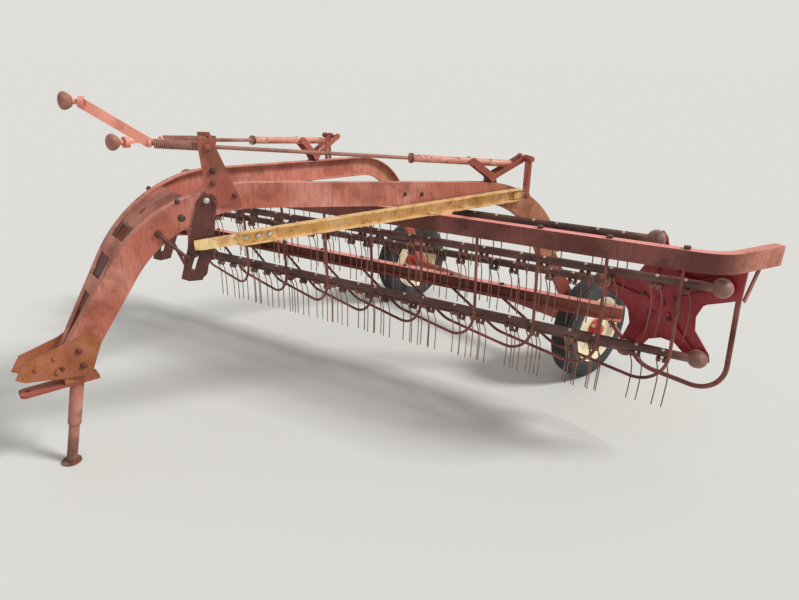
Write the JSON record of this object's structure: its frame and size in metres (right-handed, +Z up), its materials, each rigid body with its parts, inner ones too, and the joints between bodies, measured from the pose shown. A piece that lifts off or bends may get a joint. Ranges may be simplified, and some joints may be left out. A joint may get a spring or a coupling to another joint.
{
  "type": "rolling bar hay rake",
  "caption": "Trailed hay rake: arched two-beam frame on two wheels with a slanting reel basket of spring teeth, screw lifts and a parking stand.",
  "frame": {"origin": "under the parking stand's foot, on the ground", "axes": "+X forward along the line of travel to the hitch, +Y left, +Z up"},
  "size_m": [3.278, 3.8023, 1.7301],
  "materials": {
    "faded_red": "faded, rust spots",
    "rust_red": "rusted",
    "deep_red": "worn gloss",
    "bar_brown": "dull",
    "bare_steel": "rusty",
    "salmon_red": "faded",
    "yellow": "chipped",
    "cream": "worn",
    "hub_red": "gloss",
    "tyre": "matte"
  },
  "bodies": {
    "frame": {"main_beam_left": "faded_red", "main_beam_right": "faded_red", "tongue_plate": "faded_red", "tongue_cleats": "faded_red", "hitch_plates": "rust_red", "hitch_block": "rust_red", "drawbar_strap": "rust_red", "stand_sleeve": "faded_red", "axle_tube": "rust_red", "axle_legs": "rust_red", "upright_left": "faded_red", "upright_right": "faded_red", "screw_rod_left": "bare_steel", "screw_rod_right": "bare_steel", "spring_left": "bare_steel", "spring_right": "bare_steel", "crank_left": "salmon_red", "crank_right": "salmon_red", "lever_bracket_left": "rust_red", "lever_bracket_right": "rust_red", "hanger_left": "rust_red", "hanger_right": "rust_red"},
    "stand": {"stand_leg": "rust_red"},
    "left_wheel": {"tyre_left": "tyre", "rim_left": "cream", "hub_left": "hub_red"},
    "right_wheel": {"tyre_right": "tyre", "rim_right": "cream", "hub_right": "hub_red"},
    "basket": {"upper_beam": "faded_red", "lower_beam": "faded_red", "strippers": "rust_red", "stripper_bolts": "bare_steel", "end_hoops": "rust_red", "head_support_rear": "deep_red", "head_support_front": "deep_red", "arm_bracket_left": "rust_red", "arm_bracket_right": "rust_red", "arm_left": "yellow", "arm_right": "yellow"},
    "rear_head": {"star_rear": "deep_red"},
    "front_head": {"star_front": "deep_red"},
    "left_lever": {"lift_lever_left": "rust_red"},
    "right_lever": {"lift_lever_right": "rust_red"},
    "left_strap": {"strap_left": "rust_red"},
    "right_strap": {"strap_right": "rust_red"},
    "left_tube": {"lift_tube_left": "faded_red"},
    "right_tube": {"lift_tube_right": "faded_red"},
    "bar_1": {"tooth_bar_1": "bar_brown", "teeth_1": "bare_steel"},
    "bar_2": {"tooth_bar_2": "bar_brown", "teeth_2": "bare_steel"},
    "bar_3": {"tooth_bar_3": "bar_brown", "teeth_3": "bare_steel"},
    "bar_4": {"tooth_bar_4": "bar_brown", "teeth_4": "bare_steel"},
    "bar_5": {"tooth_bar_5": "bar_brown", "teeth_5": "bare_steel"}
  },
  "joints": [
    {"name": "stand_slide", "type": "slide", "parent": "frame", "child": "stand", "axis": [-0.2233, 0, 0.9748], "range_m": [0, 0.14]},
    {"name": "left_wheel_spin", "type": "hinge", "parent": "frame", "child": "left_wheel", "pos_m": [-2.805, 1.039, 0.325], "axis": [0, 1, 0], "continuous": true},
    {"name": "right_wheel_spin", "type": "hinge", "parent": "frame", "child": "right_wheel", "pos_m": [-2.805, -0.683, 0.325], "axis": [0, 1, 0], "continuous": true},
    {"name": "basket_lift", "type": "hinge", "parent": "frame", "child": "basket", "pos_m": [-0.674, 0, 1.062], "axis": [0, 1, 0], "range_deg": [-4, 0]},
    {"name": "reel_spin", "type": "hinge", "parent": "basket", "child": "rear_head", "pos_m": [-2.3655, 1.6457, 0.7819], "axis": [1, 0, 0], "continuous": true},
    {"name": "front_head_spin", "type": "hinge", "parent": "basket", "child": "front_head", "pos_m": [-1.26209, -1.32127, 0.7819], "axis": [1, 0, 0], "continuous": true},
    {"name": "bar_1_pivot", "type": "hinge", "parent": "rear_head", "child": "bar_1", "pos_m": [-2.3655, 1.58037, 1.09005], "axis": [1, 0, 0], "continuous": true},
    {"name": "bar_2_pivot", "type": "hinge", "parent": "rear_head", "child": "bar_2", "pos_m": [-2.3655, 1.33244, 0.81499], "axis": [1, 0, 0], "continuous": true},
    {"name": "bar_3_pivot", "type": "hinge", "parent": "rear_head", "child": "bar_3", "pos_m": [-2.3655, 1.51743, 0.4942], "axis": [1, 0, 0], "continuous": true},
    {"name": "bar_4_pivot", "type": "hinge", "parent": "rear_head", "child": "bar_4", "pos_m": [-2.3655, 1.87968, 0.571], "axis": [1, 0, 0], "continuous": true},
    {"name": "bar_5_pivot", "type": "hinge", "parent": "rear_head", "child": "bar_5", "pos_m": [-2.3655, 1.91858, 0.93926], "axis": [1, 0, 0], "continuous": true},
    {"name": "left_lever_pivot", "type": "hinge", "parent": "frame", "child": "left_lever", "pos_m": [-2.13564, 0.71805, 1.292], "axis": [0.3182, 0.948, 0], "range_deg": [-36, 2]},
    {"name": "left_strap_pivot", "type": "hinge", "parent": "left_lever", "child": "left_strap", "pos_m": [-2.30345, 0.83134, 1.385], "axis": [0.3182, 0.948, 0], "range_deg": [-2, 36]},
    {"name": "left_tube_slide", "type": "slide", "parent": "frame", "child": "left_tube", "axis": [0.9441, -0.3169, 0.0905], "range_m": [-0.075, 0.005]},
    {"name": "right_lever_pivot", "type": "hinge", "parent": "frame", "child": "right_lever", "pos_m": [-1.67055, -0.33852, 1.318], "axis": [-0.1894, 0.9819, 0], "range_deg": [-36, 2]},
    {"name": "right_strap_pivot", "type": "hinge", "parent": "right_lever", "child": "right_strap", "pos_m": [-1.84432, -0.42703, 1.42], "axis": [-0.1894, 0.9819, 0], "range_deg": [-2, 36]},
    {"name": "right_tube_slide", "type": "slide", "parent": "frame", "child": "right_tube", "axis": [0.9784, 0.1887, 0.084], "range_m": [-0.075, 0.005]}
  ],
  "couplings": [
    {"joint": "front_head_spin", "follows": "reel_spin", "ratio": 1},
    {"joint": "bar_1_pivot", "follows": "reel_spin", "ratio": -1},
    {"joint": "bar_2_pivot", "follows": "reel_spin", "ratio": -1},
    {"joint": "bar_3_pivot", "follows": "reel_spin", "ratio": -1},
    {"joint": "bar_4_pivot", "follows": "reel_spin", "ratio": -1},
    {"joint": "bar_5_pivot", "follows": "reel_spin", "ratio": -1},
    {"joint": "left_lever_pivot", "follows": "basket_lift", "ratio": 7.8},
    {"joint": "left_strap_pivot", "follows": "basket_lift", "ratio": -7.8},
    {"joint": "left_tube_slide", "follows": "basket_lift", "m_per_rad": 0.895},
    {"joint": "right_lever_pivot", "follows": "basket_lift", "ratio": 5.8},
    {"joint": "right_strap_pivot", "follows": "basket_lift", "ratio": -5.8},
    {"joint": "right_tube_slide", "follows": "basket_lift", "m_per_rad": 0.698}
  ]
}
